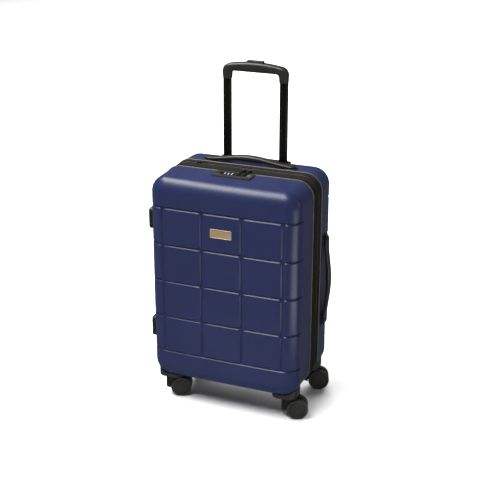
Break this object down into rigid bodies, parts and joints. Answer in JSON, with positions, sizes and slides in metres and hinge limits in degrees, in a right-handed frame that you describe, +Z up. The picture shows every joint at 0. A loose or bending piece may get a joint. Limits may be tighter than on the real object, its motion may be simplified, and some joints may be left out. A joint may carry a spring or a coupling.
{
  "type": "suitcase",
  "caption": "Hard shell cabin suitcase with a telescopic handle, carrying handles, a combination lock and swivelling casters.",
  "frame": {"origin": "on the floor under the middle of the case", "axes": "+Z up, +Y from the lid towards the telescopic handle, +X towards the side carrying handle"},
  "size_m": [0.3846, 0.24, 0.7755],
  "materials": {
    "shell": "satin pressed polycarbonate, navy blue",
    "black_plastic": "fine moulded texture, black",
    "piping": "soft moulded bead, dark grey",
    "zip_tape": "woven tape, black",
    "lining": "woven polyester lining, grey",
    "webbing": "elastic webbing, black",
    "tube": "drawn aluminium tube, dark anodised",
    "steel": "plain steel",
    "dial": "moulded dial with white figures",
    "plate": "brushed pale brass",
    "zinc": "die-cast zinc, black paint",
    "caster_plastic": "moulded nylon, black",
    "wheel": "moulded tyre on a black hub"
  },
  "bodies": {
    "rear_case": {"rear_shell": "shell", "rear_lining": "lining", "rear_piping": "piping", "rear_zip_tape": "zip_tape", "expansion_gusset": "zip_tape", "handle_well": "black_plastic", "outer_tube_left": "tube", "outer_tube_right": "tube", "tube_foot": "black_plastic", "top_handle_mounts": "black_plastic", "side_handle_mounts": "black_plastic", "packing_straps": "webbing", "rear_side_feet": "black_plastic", "rear_left_caster_housing": "caster_plastic", "rear_right_caster_housing": "caster_plastic"},
    "lid": {"front_shell": "shell", "front_lining": "lining", "front_piping": "piping", "front_zip_tape": "zip_tape", "lock_housing": "black_plastic", "name_plate": "plate", "front_side_feet": "black_plastic", "front_left_caster_housing": "caster_plastic", "front_right_caster_housing": "caster_plastic"},
    "trolley_middle": {"middle_tube_left": "tube", "middle_tube_right": "tube"},
    "trolley_inner": {"inner_tube_left": "tube", "inner_tube_right": "tube", "trolley_grip": "black_plastic"},
    "grip_release": {"grip_button": "black_plastic", "push_rods": "steel"},
    "top_handle": {"top_handle": "black_plastic"},
    "side_handle": {"side_handle": "black_plastic"},
    "lock_dial_1": {"lock_dial_1": "dial"},
    "lock_dial_2": {"lock_dial_2": "dial"},
    "lock_dial_3": {"lock_dial_3": "dial"},
    "lock_release": {"lock_button": "black_plastic"},
    "key_cylinder": {"key_cylinder": "steel"},
    "zip_slider_left": {"zip_slider_left": "zinc"},
    "zip_slider_right": {"zip_slider_right": "zinc"},
    "zip_pull_left": {"zip_pull_left": "zinc"},
    "zip_pull_right": {"zip_pull_right": "zinc"},
    "expansion_slider": {"expansion_slider": "zinc"},
    "front_left_caster": {"front_left_caster_fork": "caster_plastic", "front_left_axle": "steel"},
    "front_left_wheel_inner": {"front_left_wheel_inner": "wheel"},
    "front_left_wheel_outer": {"front_left_wheel_outer": "wheel"},
    "front_right_caster": {"front_right_caster_fork": "caster_plastic", "front_right_axle": "steel"},
    "front_right_wheel_inner": {"front_right_wheel_inner": "wheel"},
    "front_right_wheel_outer": {"front_right_wheel_outer": "wheel"},
    "rear_left_caster": {"rear_left_caster_fork": "caster_plastic", "rear_left_axle": "steel"},
    "rear_left_wheel_inner": {"rear_left_wheel_inner": "wheel"},
    "rear_left_wheel_outer": {"rear_left_wheel_outer": "wheel"},
    "rear_right_caster": {"rear_right_caster_fork": "caster_plastic", "rear_right_axle": "steel"},
    "rear_right_wheel_inner": {"rear_right_wheel_inner": "wheel"},
    "rear_right_wheel_outer": {"rear_right_wheel_outer": "wheel"}
  },
  "joints": [
    {"name": "lid_hinge", "type": "hinge", "parent": "rear_case", "child": "lid", "pos_m": [-0.177, -0.0088, 0.304], "axis": [0, 0, -1], "range_deg": [0, 140]},
    {"name": "trolley_middle_slide", "type": "slide", "parent": "rear_case", "child": "trolley_middle", "axis": [0, 0, 1], "range_m": [0, 0.215]},
    {"name": "trolley_inner_slide", "type": "slide", "parent": "trolley_middle", "child": "trolley_inner", "axis": [0, 0, 1], "range_m": [-0.215, 0]},
    {"name": "grip_button_press", "type": "slide", "parent": "trolley_inner", "child": "grip_release", "axis": [0, 0, -1], "range_m": [0, 0.003], "stiffness_N_per_m": 400, "springref_m": -0.002},
    {"name": "top_handle_lift", "type": "slide", "parent": "rear_case", "child": "top_handle", "axis": [0, 0, 1], "range_m": [0, 0.003]},
    {"name": "side_handle_pull", "type": "slide", "parent": "rear_case", "child": "side_handle", "axis": [1, 0, 0], "range_m": [0, 0.003]},
    {"name": "lock_dial_1_turn", "type": "hinge", "parent": "lid", "child": "lock_dial_1", "pos_m": [-0.022, -0.038, 0.5423], "axis": [1, 0, 0], "continuous": true},
    {"name": "lock_dial_2_turn", "type": "hinge", "parent": "lid", "child": "lock_dial_2", "pos_m": [-0.014, -0.038, 0.5423], "axis": [1, 0, 0], "continuous": true},
    {"name": "lock_dial_3_turn", "type": "hinge", "parent": "lid", "child": "lock_dial_3", "pos_m": [-0.006, -0.038, 0.5423], "axis": [1, 0, 0], "continuous": true},
    {"name": "lock_button_slide", "type": "slide", "parent": "lid", "child": "lock_release", "axis": [1, 0, 0], "range_m": [0, 0.004], "stiffness_N_per_m": 200, "springref_m": -0.001},
    {"name": "key_turn", "type": "hinge", "parent": "lid", "child": "key_cylinder", "pos_m": [0.033, -0.038, 0.546], "axis": [0, 0, 1], "range_deg": [0, 90]},
    {"name": "zip_slider_left_run", "type": "slide", "parent": "rear_case", "child": "zip_slider_left", "axis": [1, 0, 0], "range_m": [-0.13, 0]},
    {"name": "zip_slider_right_run", "type": "slide", "parent": "rear_case", "child": "zip_slider_right", "axis": [1, 0, 0], "range_m": [0, 0.1]},
    {"name": "zip_pull_left_flip", "type": "hinge", "parent": "zip_slider_left", "child": "zip_pull_left", "pos_m": [0.01, -0.0088, 0.5509], "axis": [-1, 0, 0], "range_deg": [0, 110]},
    {"name": "zip_pull_right_flip", "type": "hinge", "parent": "zip_slider_right", "child": "zip_pull_right", "pos_m": [0.023, -0.0088, 0.5509], "axis": [-1, 0, 0], "range_deg": [0, 110]},
    {"name": "expansion_slider_run", "type": "slide", "parent": "rear_case", "child": "expansion_slider", "axis": [1, 0, 0], "range_m": [0, 0.2]},
    {"name": "front_left_swivel", "type": "hinge", "parent": "lid", "child": "front_left_caster", "pos_m": [-0.1445, -0.076, 0.058], "axis": [0, 0, 1], "continuous": true},
    {"name": "front_left_wheel_inner_spin", "type": "hinge", "parent": "front_left_caster", "child": "front_left_wheel_inner", "pos_m": [-0.12383, -0.06848, 0.0245], "axis": [0.342, -0.9397, 0], "continuous": true},
    {"name": "front_left_wheel_outer_spin", "type": "hinge", "parent": "front_left_caster", "child": "front_left_wheel_outer", "pos_m": [-0.12383, -0.06848, 0.0245], "axis": [0.342, -0.9397, 0], "continuous": true},
    {"name": "front_right_swivel", "type": "hinge", "parent": "lid", "child": "front_right_caster", "pos_m": [0.1445, -0.076, 0.058], "axis": [0, 0, 1], "continuous": true},
    {"name": "front_right_wheel_inner_spin", "type": "hinge", "parent": "front_right_caster", "child": "front_right_wheel_inner", "pos_m": [0.16517, -0.06848, 0.0245], "axis": [0.342, -0.9397, 0], "continuous": true},
    {"name": "front_right_wheel_outer_spin", "type": "hinge", "parent": "front_right_caster", "child": "front_right_wheel_outer", "pos_m": [0.16517, -0.06848, 0.0245], "axis": [0.342, -0.9397, 0], "continuous": true},
    {"name": "rear_left_swivel", "type": "hinge", "parent": "rear_case", "child": "rear_left_caster", "pos_m": [-0.1445, 0.076, 0.058], "axis": [0, 0, 1], "continuous": true},
    {"name": "rear_left_wheel_inner_spin", "type": "hinge", "parent": "rear_left_caster", "child": "rear_left_wheel_inner", "pos_m": [-0.12383, 0.08352, 0.0245], "axis": [0.342, -0.9397, 0], "continuous": true},
    {"name": "rear_left_wheel_outer_spin", "type": "hinge", "parent": "rear_left_caster", "child": "rear_left_wheel_outer", "pos_m": [-0.12383, 0.08352, 0.0245], "axis": [0.342, -0.9397, 0], "continuous": true},
    {"name": "rear_right_swivel", "type": "hinge", "parent": "rear_case", "child": "rear_right_caster", "pos_m": [0.1445, 0.076, 0.058], "axis": [0, 0, 1], "continuous": true},
    {"name": "rear_right_wheel_inner_spin", "type": "hinge", "parent": "rear_right_caster", "child": "rear_right_wheel_inner", "pos_m": [0.16517, 0.08352, 0.0245], "axis": [0.342, -0.9397, 0], "continuous": true},
    {"name": "rear_right_wheel_outer_spin", "type": "hinge", "parent": "rear_right_caster", "child": "rear_right_wheel_outer", "pos_m": [0.16517, 0.08352, 0.0245], "axis": [0.342, -0.9397, 0], "continuous": true}
  ]
}
